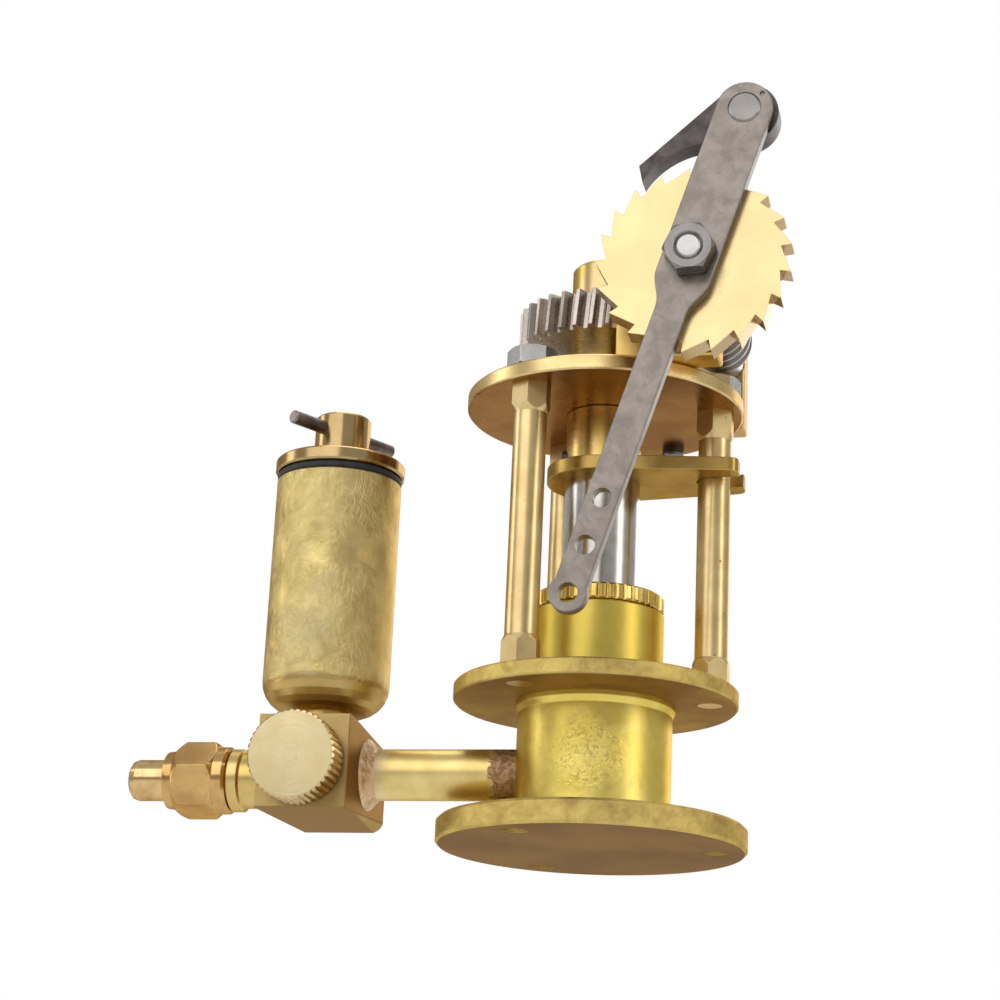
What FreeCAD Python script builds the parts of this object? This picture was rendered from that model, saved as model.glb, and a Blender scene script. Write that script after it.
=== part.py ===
import FreeCAD, Part
import math
import os

os.makedirs("parts", exist_ok=True)

# Ratchet-driven mechanical lubricator for a live steam engine.
# Millimetres. Origin: centre of the base flange's underside. +Z is up the pump axis,
# -Y is the side of the ratchet and of the valve knob, -X is the side of the oil outlet.

# ---- driving dimensions -------------------------------------------------------------

BASE_R, BASE_TOP = 24.0, 3.9            # mounting flange
BASE_HOLES, BASE_HOLE_R, BASE_PITCH_R, BASE_HOLE_TURN = 3, 2.25, 19.0, 4.0
SPIGOT_R, SPIGOT_BOTTOM = 9.0, 2.0      # barrel's foot, let into the base flange

BARREL_R, BARREL_TOP, NECK_R = 12.1, 37.4, 10.4
SHOULDER_R, SHOULDER_BOTTOM = 12.5, 21.8
BORE_R, BORE_BOTTOM, BORE_TOP = 7.0, 5.9, 27.5
PACK_R, PACK_BOTTOM, PACK_TOP = 8.15, 30.0, 33.2    # stuffing box
FOLLOWER_BOTTOM, FOLLOWER_TOP, SKIRT_BOTTOM = 33.3, 34.9, 35.0
FLANGE_R, FLANGE_BOTTOM, FLANGE_TOP = 22.3, 22.6, 25.2

PLATE_R, PLATE_BOTTOM, PLATE_TOP = 22.3, 70.6, 73.1
COLUMN_PITCH_R, COLUMN_ANGLES = 18.0, {"left": -120.0, "right": 0.0, "rear": 120.0}
COLUMN_R, COLUMN_HEX_AF, COLUMN_HEX_H, COLUMN_CONE = 2.6, 5.5, 4.8, 1.3
STUD_R, STUD_TOP = 2.0, 77.0            # M4 ends of the columns
NUT_AF, NUT_H = 7.0, 3.2                # M4 nuts

PLUNGER_R, PLUNGER_BOTTOM, PLUNGER_TOP = 6.0, 24.0, 59.0
ARM_TOP, ARM_HUB_R, ARM_END_HALF, ARM_END_X, ARM_CORNER_R = 61.2, 9.0, 6.2, 22.4, 1.6
TENON_R = 4.0                           # plunger's spigot through the guide arm
SCREW_R, SCREW_LEAD, SCREW_BOTTOM, SCREW_TOP = 3.0, 1.0, 49.0, 92.5
RUN = 0.06                              # radial clearance of a running fit

DRIVE_R, DRIVE_TOP, DRIVE_NECK_R, DRIVE_BOTTOM = 6.0, 96.0, 4.5, 61.4
COLLAR_R, END_FLOAT = 6.1, 0.1
GRUB_R, GRUB_Z, GRUB_TURN = 1.0, 63.6, 190.0

MODULE, WHEEL_TEETH = 0.8, 34
WHEEL_MID_Z, WHEEL_W = 84.3, 6.1
WORM_X, WORM_OD_R, WORM_ROOT_R, WORM_HALF = 18.2, 5.1, 3.4, 5.0
PRESSURE = math.radians(20.0)
WORM_TOOTH, WHEEL_TOOTH = 1.0, 1.15     # thicknesses at the pitch line

SHAFT_R, SHAFT_REAR_Y, SHAFT_COLLAR_R, SHAFT_COLLAR_W = 2.5, 18.9, 4.0, 2.4
BLOCK_X0, BLOCK_X1, BLOCK_TOP, BLOCK_CHAMFER = 4.9, 20.9, 90.4, 3.0
FRONT_BLOCK_Y, REAR_BLOCK_Y = (-20.0, -14.2), (14.2, 19.0)
BLOCK_SCREW_X, BLOCK_SCREW_R, BLOCK_SCREW_HEAD_R, BLOCK_SCREW_HEAD_H = 8.8, 1.25, 1.8, 1.4

RATCHET_TEETH, RATCHET_R, RATCHET_ROOT_R, RATCHET_FIRST_TIP = 21, 15.0, 13.3, 41.4
RATCHET_Y0, RATCHET_Y1, RATCHET_HUB_R = -30.8, -26.8, 4.75
LEVER_Y0, LEVER_Y1, LEVER_LEAN = -33.0, -30.9, 17.9
LEVER_PIN_AT, LEVER_TOP_HALF, LEVER_LOW_HALF, LEVER_EYE_R = 25.0, 4.3, 2.45, 2.9
LEVER_HOLES, LEVER_HOLE_R = (-40.0, -47.5, -55.0), 1.5
LEVER_SHOULDER, LEVER_WAIST = -3.6, -9.6
SHAFT_NUT_Y = -36.3

PAWL_Y0, PAWL_Y1, PAWL_HEAD_R, PIN_R, PIN_HEAD_R, PIN_HEAD_H = -30.8, -26.9, 5.0, 2.5, 3.4, 0.8
PAWL_TIP_TOP, PAWL_TIP_LOW = (-16.3, -7.9), (-15.75, -10.5)     # from the pin, X and Z
PAWL_HOLLOW_MID, PAWL_HOLLOW_END = (-12.2, -6.7), (-6.6, -4.6)

BLOCK_X, BLOCK_Z, BLOCK_SIDE, BLOCK_HALF_Y, BLOCK_EDGE_R = -43.4, 11.63, 14.6, 12.0, 1.6
BLOCK_TURNED_FRONT_R, BLOCK_TURNED_BACK_R = 10.4, 9.15
BLOCK_WAY_R = 1.5                       # drilling from the pipe through to the union
PIPE_Z, PIPE_R, PIPE_BORE_R, PIPE_IN_X, PIPE_IN_BLOCK = 11.7, 4.05, 2.4, -9.4, 3.0
SOLDER_R, SOLDER_W = 5.7, 1.9
VALVE_X, VALVE_Z = -43.5, 11.4
VALVE_GLAND_R, VALVE_GLAND_DEEP, VALVE_HEAD_R, VALVE_HEAD_H = 3.2, 3.0, 4.4, 0.6
NEEDLE_ROOM_R, SEAT_R, SEAT_Y = 2.1, 0.9, -2.6
KNOB_R, KNOB_FRONT, KNOB_BACK, KNOB_GROOVES = 6.95, -18.1, -12.75, 42
SPINDLE_R, SPINDLE_TIP = 1.75, -2.3

CUP_X, CUP_R, CUP_WALL, CUP_BOTTOM, CUP_TOP, CUP_ROUND = -44.0, 10.2, 1.0, 21.45, 60.0, 4.8
CUP_FOOT_R = 4.6
OIL_WAY_R, OIL_WAY_Y = 0.8, -3.3        # drilling from the cup down to the needle valve
LID_BOTTOM, LID_TOP, LID_R, LID_HUB_R, LID_HUB_TOP = 61.3, 63.5, 10.6, 4.55, 71.4
LID_SPIGOT_R, LID_SPIGOT_BOTTOM = 9.1, 55.4
BAR_R, BAR_HALF, BAR_Z, BAR_TURN = 1.1, 11.2, 68.9, 31.0

UNION_Z = 10.7
NIPPLE_R, NIPPLE_RING_R, NIPPLE_THREAD_R = 4.45, 5.0, 4.0
NIPPLE_ROOT_R, NIPPLE_ROOT = 3.0, 3.9   # the spigot that screws into the block
TAIL_R, TAIL_NECK_R, TAIL_BORE_R, TAIL_END_X = 3.3, 3.0, 1.9, -75.2
UNION_NUT_AC_R, UNION_NUT_X0, UNION_NUT_X1 = 6.2, -68.9, -58.3

GLAND_R, GLAND_BOTTOM, GLAND_TOP, GLAND_GROOVES = 10.3, 37.55, 40.1, 46
GROOVE_DEPTH = 0.35

V = FreeCAD.Vector
X_AXIS, Y_AXIS, Z_AXIS = V(1, 0, 0), V(0, 1, 0), V(0, 0, 1)
FULL = 360.0


# ---- small helpers ------------------------------------------------------------------

def keep(name, shape):
    """Write one node, and say its volume."""
    shape = shape.removeSplitter()
    if not shape.isValid():
        raise RuntimeError(name + " is not valid")
    shape.exportStep("parts/" + name + ".step")
    print(name, len(shape.Solids), "solid(s)", round(shape.Volume, 1), "mm3")


def rod(radius, start, length, axis=Z_AXIS):
    return Part.makeCylinder(radius, length, start, axis)


def upright(radius, z0, z1, x=0.0, y=0.0):
    return rod(radius, V(x, y, z0), z1 - z0)


def along_x(radius, x0, x1, z, y=0.0):
    return rod(radius, V(x0, y, z), x1 - x0, X_AXIS)


def along_y(radius, y0, y1, x, z):
    return rod(radius, V(x, y0, z), y1 - y0, Y_AXIS)


def turned(profile, centre=V(0, 0, 0), axis=Z_AXIS):
    """A closed outline of (radius, height) points, turned about an axis through centre."""
    points = [V(r, 0, h) for r, h in profile]
    face = Part.Face(Part.makePolygon(points + points[:1]))
    solid = face.revolve(V(0, 0, 0), Z_AXIS, FULL)
    solid.Placement = FreeCAD.Placement(centre, FreeCAD.Rotation(Z_AXIS, axis))
    return solid


def polygon_prism(points, direction):
    return Part.Face(Part.makePolygon(points + points[:1])).extrude(direction)


def hexagon(across_corners_r, z0, z1, turn=0.0):
    points = []
    for k in range(6):
        a = math.radians(turn + 60.0 * k)
        points.append(V(across_corners_r * math.cos(a), across_corners_r * math.sin(a), z0))
    return polygon_prism(points, V(0, 0, z1 - z0))


def chamfered_hexagon(across_flats, z0, z1):
    """A hexagon whose corners are turned off at 30 degrees at both ends, as on a nut."""
    corner, flat = across_flats / math.sqrt(3.0), across_flats / 2.0
    drop = (corner - flat) * math.tan(math.radians(30.0))
    profile = [(0, z0), (flat, z0), (corner, z0 + drop), (corner, z1 - drop), (flat, z1), (0, z1)]
    return hexagon(corner, z0, z1).common(turned(profile))


def knurled(radius, length, grooves, depth):
    """A disc from z = 0 up whose edge has straight, evenly spaced grooves."""
    points = []
    step = math.radians(FULL / grooves)
    for k in range(grooves):
        for share, r in ((0.0, radius), (0.45, radius), (0.72, radius - depth)):
            a = step * (k + share)
            points.append(V(r * math.cos(a), r * math.sin(a), 0))
    return polygon_prism(points, V(0, 0, length))


def to_y(shape, x, y, z):
    """Turn a shape made about +Z so that its axis points along +Y from (x, y, z)."""
    shape = shape.copy()
    shape.rotate(V(0, 0, 0), X_AXIS, -90)
    shape.translate(V(x, y, z))
    return shape


def polar(radius, degrees, z=0.0):
    a = math.radians(degrees)
    return V(radius * math.cos(a), radius * math.sin(a), z)


def ringed_screw(radius, depth, pitch, z0, z1):
    """A screwed rod whose thread is drawn as closed rings."""
    profile = [(0, z0), (radius - depth, z0)]
    turns = int((z1 - z0) / pitch)
    for k in range(turns):
        z = z0 + k * pitch
        profile += [(radius - depth, z + 0.1 * pitch), (radius, z + 0.45 * pitch)]
        profile += [(radius, z + 0.6 * pitch), (radius - depth, z + 0.95 * pitch)]
    profile += [(radius - depth, z1), (0, z1)]
    return turned(profile)


# ---- base, barrel, columns and plates -----------------------------------------------

def base_flange():
    edge = 0.5
    disc = turned([(0, 0), (BASE_R - edge, 0), (BASE_R, edge), (BASE_R, BASE_TOP - edge),
                   (BASE_R - edge, BASE_TOP), (0, BASE_TOP)])
    disc = disc.cut(upright(SPIGOT_R, SPIGOT_BOTTOM, BASE_TOP))
    for k in range(BASE_HOLES):
        at = polar(BASE_PITCH_R, BASE_HOLE_TURN + k * FULL / BASE_HOLES)
        disc = disc.cut(upright(BASE_HOLE_R, 0, BASE_TOP, at.x, at.y))
    return disc


def pump_barrel():
    outside = [(0, SPIGOT_BOTTOM), (SPIGOT_R, SPIGOT_BOTTOM), (SPIGOT_R, BASE_TOP),
               (BARREL_R, BASE_TOP), (BARREL_R, SHOULDER_BOTTOM - 1.0),
               (SHOULDER_R, SHOULDER_BOTTOM), (SHOULDER_R, FLANGE_BOTTOM),
               (NECK_R, FLANGE_BOTTOM), (NECK_R, BARREL_TOP - 0.3), (NECK_R - 0.3, BARREL_TOP),
               (PACK_R, BARREL_TOP), (PACK_R, PACK_BOTTOM), (PLUNGER_R + RUN, PACK_BOTTOM),
               (PLUNGER_R + RUN, BORE_TOP), (BORE_R, BORE_TOP - 1.0), (BORE_R, BORE_BOTTOM),
               (0, BORE_BOTTOM)]
    barrel = turned(outside)
    barrel = barrel.cut(along_x(PIPE_R, -BARREL_R - 1, PIPE_IN_X, PIPE_Z))
    return barrel.cut(along_x(PIPE_BORE_R, PIPE_IN_X, 0, PIPE_Z))


def round_plate(radius, bottom, top, inner):
    edge = 0.3
    return turned([(inner, bottom), (radius - edge, bottom), (radius, bottom + edge),
                   (radius, top - edge), (radius - edge, top), (inner, top)])


def with_column_holes(plate, bottom, top):
    for angle in COLUMN_ANGLES.values():
        at = polar(COLUMN_PITCH_R, angle)
        plate = plate.cut(upright(STUD_R, bottom, top, at.x, at.y))
    return plate


def column_flange():
    plate = round_plate(FLANGE_R, FLANGE_BOTTOM, FLANGE_TOP, NECK_R)
    return with_column_holes(plate, FLANGE_BOTTOM, FLANGE_TOP)


def top_plate():
    plate = round_plate(PLATE_R, PLATE_BOTTOM, PLATE_TOP, DRIVE_NECK_R + RUN)
    plate = with_column_holes(plate, PLATE_BOTTOM, PLATE_TOP)
    for y in block_screw_places():
        plate = plate.cut(upright(BLOCK_SCREW_R, PLATE_BOTTOM, PLATE_TOP, BLOCK_SCREW_X, y))
    return plate


def column_end():
    """The hexagon at a column's end, from z = 0 up, coned down to the column's round part."""
    corner, shoulder = COLUMN_HEX_AF / math.sqrt(3.0), COLUMN_HEX_H - COLUMN_CONE
    cone = turned([(0, 0), (corner, 0), (corner, shoulder), (COLUMN_R, COLUMN_HEX_H),
                   (0, COLUMN_HEX_H)])
    return hexagon(corner, 0, COLUMN_HEX_H, 30).common(cone)


def column(angle):
    foot, head = FLANGE_TOP + COLUMN_HEX_H, PLATE_BOTTOM - COLUMN_HEX_H
    lower, upper = column_end(), column_end()
    lower.translate(V(0, 0, FLANGE_TOP))
    upper.rotate(V(0, 0, 0), X_AXIS, 180)
    upper.translate(V(0, 0, PLATE_BOTTOM))
    body = upright(COLUMN_R, foot, head).fuse([lower, upper])
    body = body.fuse(upright(STUD_R, FLANGE_BOTTOM + 0.05, FLANGE_TOP))
    body = body.fuse(turned([(0, PLATE_BOTTOM), (STUD_R, PLATE_BOTTOM), (STUD_R, STUD_TOP - 0.4),
                             (STUD_R - 0.4, STUD_TOP), (0, STUD_TOP)]))
    body.rotate(V(0, 0, 0), Z_AXIS, angle)
    body.translate(polar(COLUMN_PITCH_R, angle))
    return body


def hex_nut(hole_r):
    nut = chamfered_hexagon(NUT_AF, 0, NUT_H)
    countersink = hole_r + 0.35
    return nut.cut(turned([(0, 0), (hole_r, 0), (hole_r, NUT_H - 0.35), (countersink, NUT_H), (0, NUT_H)]))


def column_nuts():
    nuts = []
    for angle in COLUMN_ANGLES.values():
        nut = hex_nut(STUD_R)
        nut.rotate(V(0, 0, 0), Z_AXIS, angle + 12)
        nut.translate(polar(COLUMN_PITCH_R, angle, PLATE_TOP))
        nuts.append(nut)
    return Part.Compound(nuts)


# ---- bearing blocks on the top plate ------------------------------------------------

def block_screw_places():
    return [sum(FRONT_BLOCK_Y) / 2.0, sum(REAR_BLOCK_Y) / 2.0]


def bearing_block(y0, y1):
    c = BLOCK_CHAMFER
    outline = [V(BLOCK_X0, y0, PLATE_TOP), V(BLOCK_X1, y0, PLATE_TOP), V(BLOCK_X1, y0, BLOCK_TOP - c),
               V(BLOCK_X1 - c, y0, BLOCK_TOP), V(BLOCK_X0 + c, y0, BLOCK_TOP),
               V(BLOCK_X0, y0, BLOCK_TOP - c)]
    block = polygon_prism(outline, V(0, y1 - y0, 0))
    block = block.makeChamfer(0.3, block.Edges)
    block = block.cut(along_y(SHAFT_R + RUN, y0, y1, WORM_X, WHEEL_MID_Z))
    middle = (y0 + y1) / 2.0
    return block.cut(upright(BLOCK_SCREW_R, PLATE_TOP, PLATE_TOP + 6.5, BLOCK_SCREW_X, middle))


def block_screws():
    screws = []
    for y in block_screw_places():
        head = turned([(0, PLATE_BOTTOM - BLOCK_SCREW_HEAD_H),
                       (BLOCK_SCREW_HEAD_R - 0.3, PLATE_BOTTOM - BLOCK_SCREW_HEAD_H),
                       (BLOCK_SCREW_HEAD_R, PLATE_BOTTOM - BLOCK_SCREW_HEAD_H + 0.3),
                       (BLOCK_SCREW_HEAD_R, PLATE_BOTTOM), (0, PLATE_BOTTOM)])
        slot = Part.makeBox(6, 0.5, 0.7, V(-3, -0.25, PLATE_BOTTOM - BLOCK_SCREW_HEAD_H))
        head = head.cut(slot)
        head.rotate(V(0, 0, 0), Z_AXIS, 25)
        head.translate(V(BLOCK_SCREW_X, y, 0))
        shank = upright(BLOCK_SCREW_R, PLATE_BOTTOM, PLATE_TOP + 5.5, BLOCK_SCREW_X, y)
        screws.append(head.fuse(shank))
    return Part.Compound(screws)


# ---- gland --------------------------------------------------------------------------

def gland_packing():
    return turned([(PLUNGER_R + RUN, PACK_BOTTOM), (PACK_R, PACK_BOTTOM), (PACK_R, PACK_TOP),
                   (PLUNGER_R + RUN, PACK_TOP)])


def gland_follower():
    inner, outer = PLUNGER_R + RUN, PACK_R - RUN
    return turned([(inner, FOLLOWER_BOTTOM), (outer, FOLLOWER_BOTTOM), (outer, FOLLOWER_TOP),
                   (inner, FOLLOWER_TOP)])


def gland_nut():
    cap = knurled(GLAND_R, GLAND_TOP - GLAND_BOTTOM, GLAND_GROOVES, GROOVE_DEPTH)
    cap.translate(V(0, 0, GLAND_BOTTOM))
    edge = 0.3
    trim = turned([(0, GLAND_BOTTOM), (GLAND_R - edge, GLAND_BOTTOM), (GLAND_R, GLAND_BOTTOM + edge),
                   (GLAND_R, GLAND_TOP - edge), (GLAND_R - edge, GLAND_TOP), (0, GLAND_TOP)])
    cap = cap.common(trim).fuse(upright(PACK_R - RUN, SKIRT_BOTTOM, GLAND_BOTTOM))
    return cap.cut(turned([(0, SKIRT_BOTTOM), (PLUNGER_R + RUN, SKIRT_BOTTOM),
                           (PLUNGER_R + RUN, GLAND_TOP - 0.5), (PLUNGER_R + 0.6, GLAND_TOP),
                           (0, GLAND_TOP)]))


# ---- plunger, guide arm and feed screw ----------------------------------------------

def plunger():
    body = turned([(0, PLUNGER_BOTTOM), (PLUNGER_R - 0.5, PLUNGER_BOTTOM),
                   (PLUNGER_R, PLUNGER_BOTTOM + 0.5), (PLUNGER_R, PLUNGER_TOP),
                   (TENON_R, PLUNGER_TOP), (TENON_R, ARM_TOP - 0.05), (0, ARM_TOP - 0.05)])
    return body.cut(upright(SCREW_R, SCREW_BOTTOM, ARM_TOP))


def feed_screw():
    plain = upright(SCREW_R, SCREW_BOTTOM, ARM_TOP + 0.1)
    thread = ringed_screw(SCREW_R, 0.45, SCREW_LEAD, ARM_TOP + 0.1, SCREW_TOP - 1.0)
    end = turned([(0, SCREW_TOP - 1.0), (2.55, SCREW_TOP - 1.0), (1.9, SCREW_TOP), (0, SCREW_TOP)])
    return plain.fuse([thread, end])


def guide_arm():
    """A disc on the plunger's top with a forked end that slides on the right-hand column."""
    thick = ARM_TOP - PLUNGER_TOP
    slope = math.asin((ARM_HUB_R - ARM_END_HALF) / (ARM_END_X - ARM_CORNER_R))
    touch = V(ARM_HUB_R * math.sin(slope), ARM_HUB_R * math.cos(slope), 0)
    end_half = ARM_HUB_R / math.cos(slope) - ARM_END_X * math.tan(slope)
    wedge = polygon_prism([V(touch.x, -touch.y, PLUNGER_TOP), V(ARM_END_X, -end_half, PLUNGER_TOP),
                           V(ARM_END_X, end_half, PLUNGER_TOP), V(touch.x, touch.y, PLUNGER_TOP)],
                          V(0, 0, thick))
    corners = [e for e in wedge.Edges if upright_edge_at(e, ARM_END_X)]
    wedge = wedge.makeFillet(ARM_CORNER_R, corners)
    arm = upright(ARM_HUB_R, PLUNGER_TOP, ARM_TOP).fuse(wedge).removeSplitter()
    slot_half = COLUMN_R + 0.2
    slot = upright(slot_half, PLUNGER_TOP, ARM_TOP, COLUMN_PITCH_R)
    slot = slot.fuse(Part.makeBox(ARM_END_X, 2 * slot_half, thick,
                                  V(COLUMN_PITCH_R, -slot_half, PLUNGER_TOP)))
    arm = arm.cut(slot)
    return arm.cut(upright(TENON_R, PLUNGER_TOP, ARM_TOP))


def upright_edge_at(edge, x):
    box = edge.BoundBox
    return box.ZLength > 0.5 and abs(box.XMin - x) < 0.01 and box.XLength < 0.01


def drive_nut():
    """The nut that the worm wheel turns: its neck runs in the top plate."""
    seat = PLATE_TOP + END_FLOAT
    return turned([(SCREW_R + RUN, DRIVE_BOTTOM), (DRIVE_NECK_R, DRIVE_BOTTOM),
                   (DRIVE_NECK_R, seat), (DRIVE_R, seat), (DRIVE_R, DRIVE_TOP - 0.5),
                   (DRIVE_R - 0.5, DRIVE_TOP), (0, DRIVE_TOP), (0, DRIVE_TOP - 2.0),
                   (SCREW_R + 0.4, DRIVE_TOP - 2.0), (SCREW_R + 0.4, WHEEL_MID_Z),
                   (SCREW_R + RUN, WHEEL_MID_Z)])


def thrust_collar():
    top = PLATE_BOTTOM - END_FLOAT
    collar = turned([(DRIVE_NECK_R, DRIVE_BOTTOM), (COLLAR_R - 0.3, DRIVE_BOTTOM),
                     (COLLAR_R, DRIVE_BOTTOM + 0.3), (COLLAR_R, top), (DRIVE_NECK_R, top)])
    return collar.cut(rod(GRUB_R, polar(DRIVE_NECK_R - 1, GRUB_TURN, GRUB_Z), 4.0, polar(1, GRUB_TURN)))


def collar_screw():
    point = rod(GRUB_R, polar(0, 0, GRUB_Z), COLLAR_R + 0.6, polar(1, GRUB_TURN))
    return point.cut(upright(DRIVE_NECK_R, GRUB_Z - 3, GRUB_Z + 3))


# ---- worm gearing -------------------------------------------------------------------

def wheel_outline(z, turn):
    """The worm wheel's edge at one height: a gap faces +X when turn is 0."""
    pitch_r = MODULE * WHEEL_TEETH / 2.0
    outer_r, root_r = pitch_r + MODULE, pitch_r - 1.3 * MODULE
    step = 2 * math.pi / WHEEL_TEETH
    points = []
    for k in range(WHEEL_TEETH):
        middle = step * (k + 0.5) + turn
        flank = []
        for r in (root_r, pitch_r, outer_r):
            half = WHEEL_TOOTH / 2.0 - (r - pitch_r) * math.tan(PRESSURE)
            flank.append((r, min(half, 0.82) / r))
        points += [polar(r, math.degrees(middle - a), z) for r, a in flank]
        points += [polar(r, math.degrees(middle + a), z) for r, a in reversed(flank)]
    return Part.makePolygon(points + points[:1])


def worm_lead_slope():
    return MODULE / 2.0 / (WORM_X - MODULE * WHEEL_TEETH / 2.0)


def worm_wheel():
    z0, z1 = WHEEL_MID_Z - WHEEL_W / 2.0, WHEEL_MID_Z + WHEEL_W / 2.0
    turn = WHEEL_W / 2.0 * worm_lead_slope() / (MODULE * WHEEL_TEETH / 2.0)
    wheel = Part.makeLoft([wheel_outline(z0, -turn), wheel_outline(z1, turn)], True, True)
    return wheel.cut(upright(DRIVE_R, z0, z1))


def worm():
    """A one-start right-hand worm on the shaft, with a thread facing the wheel at y = 0."""
    pitch = math.pi * MODULE
    pitch_r = WORM_X - MODULE * WHEEL_TEETH / 2.0
    inner_r, turns = WORM_ROOT_R - 0.3, 5
    half = [WORM_TOOTH / 2.0 + (pitch_r - r) * math.tan(PRESSURE) for r in (inner_r, WORM_OD_R)]
    z0 = -pitch * turns / 2.0
    path = Part.makeHelix(pitch, pitch * turns, pitch_r)
    section = Part.makePolygon([V(inner_r, 0, -half[0]), V(WORM_OD_R, 0, -half[1]),
                                V(WORM_OD_R, 0, half[1]), V(inner_r, 0, half[0]),
                                V(inner_r, 0, -half[0])])
    thread = Part.Wire(path.Edges).makePipeShell([section], True, True)
    thread.translate(V(0, 0, z0))
    long = WORM_HALF + 2.0
    core = upright(WORM_ROOT_R, -long, long).cut(upright(SHAFT_R, -long, long))
    ends = turned([(SHAFT_R, -WORM_HALF), (WORM_OD_R - 0.8, -WORM_HALF),
                   (WORM_OD_R + 0.2, -WORM_HALF + 1.0), (WORM_OD_R + 0.2, WORM_HALF - 1.0),
                   (WORM_OD_R - 0.8, WORM_HALF), (SHAFT_R, WORM_HALF)])
    return to_y(core.fuse(thread).common(ends), WORM_X, 0, WHEEL_MID_Z)


def worm_shaft():
    shaft = along_y(SHAFT_R, RATCHET_Y0, SHAFT_REAR_Y, WORM_X, WHEEL_MID_Z)
    end = [(0, 0), (STUD_R - 0.35, 0), (STUD_R, 0.35), (STUD_R, RATCHET_Y0 - SHAFT_NUT_Y),
           (0, RATCHET_Y0 - SHAFT_NUT_Y)]
    return shaft.fuse(to_y(turned(end), WORM_X, SHAFT_NUT_Y, WHEEL_MID_Z))


def shaft_collar():
    """A ring pressed on the shaft behind the front block: it keeps the shaft from sliding out."""
    y = FRONT_BLOCK_Y[1] + END_FLOAT
    ring = along_y(SHAFT_COLLAR_R, y, y + SHAFT_COLLAR_W, WORM_X, WHEEL_MID_Z)
    return ring.cut(along_y(SHAFT_R, y, y + SHAFT_COLLAR_W, WORM_X, WHEEL_MID_Z))


# ---- ratchet wheel, lever and pawl --------------------------------------------------

def ratchet_wheel():
    step = FULL / RATCHET_TEETH
    points = []
    for k in range(RATCHET_TEETH):
        a = RATCHET_FIRST_TIP + k * step
        for r in (RATCHET_ROOT_R, RATCHET_R):
            flat = polar(r, a)
            points.append(V(WORM_X + flat.x, RATCHET_Y0, WHEEL_MID_Z + flat.y))
    wheel = polygon_prism(points, V(0, RATCHET_Y1 - RATCHET_Y0, 0))
    hub_end = FRONT_BLOCK_Y[0] - END_FLOAT
    wheel = wheel.fuse(along_y(RATCHET_HUB_R, RATCHET_Y1, hub_end, WORM_X, WHEEL_MID_Z))
    return wheel.cut(along_y(SHAFT_R, RATCHET_Y0, hub_end, WORM_X, WHEEL_MID_Z))


def shaft_nut():
    nut = hex_nut(STUD_R)
    nut.rotate(V(0, 0, 0), Z_AXIS, 4)
    nut.rotate(V(0, 0, 0), X_AXIS, 90)
    nut.translate(V(WORM_X, SHAFT_NUT_Y + NUT_H, WHEEL_MID_Z))
    return nut


def on_lever(shape):
    """Place a piece that was drawn with the lever upright: +Z along it, its pivot at the origin."""
    shape = shape.copy()
    shape.rotate(V(0, 0, 0), Y_AXIS, LEVER_LEAN)
    shape.translate(V(WORM_X, 0, WHEEL_MID_Z))
    return shape


def lever():
    """A long eye at the bottom, a waist under the pivot and a wider arm up to the pawl pin."""
    y, wide, slim = LEVER_Y0, LEVER_TOP_HALF, LEVER_LOW_HALF
    eye_z, eye_r = LEVER_HOLES[-1], LEVER_EYE_R
    top = V(0, y, LEVER_PIN_AT + wide)
    bottom = V(0, y, eye_z - eye_r)
    rise = math.sqrt(eye_r ** 2 - slim ** 2)
    middle = (LEVER_SHOULDER + LEVER_WAIST) / 2.0

    def s_bend(side):
        bend = Part.BSplineCurve()
        points = [V(side * slim, y, LEVER_WAIST), V(side * slim, y, middle - 0.4),
                  V(side * wide, y, middle + 0.4), V(side * wide, y, LEVER_SHOULDER)]
        bend.buildFromPolesMultsKnots(points, [4, 4], [0, 1], False, 3)
        return bend.toShape()

    def line(a, b):
        return Part.makeLine(a, b)

    edges = [line(V(slim, y, eye_z + rise), V(slim, y, LEVER_WAIST)), s_bend(1),
             line(V(wide, y, LEVER_SHOULDER), V(wide, y, LEVER_PIN_AT)),
             Part.Arc(V(wide, y, LEVER_PIN_AT), top, V(-wide, y, LEVER_PIN_AT)).toShape(),
             line(V(-wide, y, LEVER_PIN_AT), V(-wide, y, LEVER_SHOULDER)), s_bend(-1),
             line(V(-slim, y, LEVER_WAIST), V(-slim, y, eye_z + rise)),
             Part.Arc(V(-slim, y, eye_z + rise), bottom, V(slim, y, eye_z + rise)).toShape()]
    wire = Part.Wire(Part.__sortEdges__(edges))
    bar = Part.Face(wire).extrude(V(0, LEVER_Y1 - LEVER_Y0, 0))
    rims = [e for e in bar.Edges if e.BoundBox.YLength < 0.01]
    bar = bar.makeChamfer(0.15, rims)
    bar = bar.cut(along_y(STUD_R + RUN, LEVER_Y0, LEVER_Y1, 0, 0))
    bar = bar.cut(along_y(PIN_R, LEVER_Y0, LEVER_Y1, 0, LEVER_PIN_AT))
    for z in LEVER_HOLES:
        bar = bar.cut(along_y(LEVER_HOLE_R, LEVER_Y0, LEVER_Y1, 0, z))
    bar = bar.cut(along_y(0.4, LEVER_Y0, LEVER_Y0 + 0.4, 1.9, LEVER_PIN_AT + 2.9))
    return on_lever(bar)


def pin_place():
    a = math.radians(LEVER_LEAN)
    return WORM_X + LEVER_PIN_AT * math.sin(a), WHEEL_MID_Z + LEVER_PIN_AT * math.cos(a)


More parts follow.
